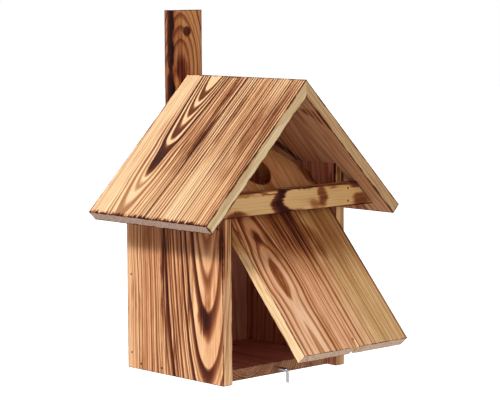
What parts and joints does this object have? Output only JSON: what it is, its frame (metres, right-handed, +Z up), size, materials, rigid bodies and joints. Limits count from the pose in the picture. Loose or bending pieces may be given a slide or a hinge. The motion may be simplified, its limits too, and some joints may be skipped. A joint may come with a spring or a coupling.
{
  "type": "nest box",
  "caption": "Gabled nest box of scorched pine boards with a front door that swings on nails, a turning hook latch and a hanging batten.",
  "frame": {"origin": "centre of the hanging batten's back face, the face that lies against the wall or tree", "axes": "+X to the right seen from the front, +Y back into the wall, +Z up"},
  "size_m": [0.2474, 0.2392, 0.3451],
  "materials": {
    "wall_wood": "scorched and brushed",
    "roof_wood": "scorched and brushed",
    "door_wood": "scorched and brushed",
    "inside_wood": "scorched and brushed",
    "crossbar_wood": "scorched and brushed",
    "batten_wood": "scorched and brushed",
    "hook_steel": "zinc plated",
    "nail_steel": "dull"
  },
  "bodies": {
    "box": {"floor": "inside_wood", "back_wall": "inside_wood", "left_wall": "wall_wood", "right_wall": "wall_wood", "left_roof_board": "roof_wood", "right_roof_board": "roof_wood", "crossbar": "crossbar_wood", "hanging_batten": "batten_wood", "left_pivot_nail": "nail_steel", "right_pivot_nail": "nail_steel", "left_floor_nails": "nail_steel", "right_floor_nails": "nail_steel", "left_back_nails": "nail_steel", "right_back_nails": "nail_steel", "left_roof_nails": "nail_steel", "right_roof_nails": "nail_steel", "left_crossbar_nails": "nail_steel", "right_crossbar_nails": "nail_steel", "batten_nails": "nail_steel"},
    "door": {"door": "door_wood"},
    "hook": {"latch_hook": "hook_steel"}
  },
  "joints": [
    {"name": "door_swing", "type": "hinge", "parent": "box", "child": "door", "pos_m": [0, -0.1395, -0.02578], "axis": [-1, 0, 0], "range_deg": [-41.4, 48.6]},
    {"name": "hook_turn", "type": "hinge", "parent": "box", "child": "hook", "pos_m": [0, -0.146, -0.16378], "axis": [0, 1, 0], "range_deg": [-90, 90]}
  ]
}
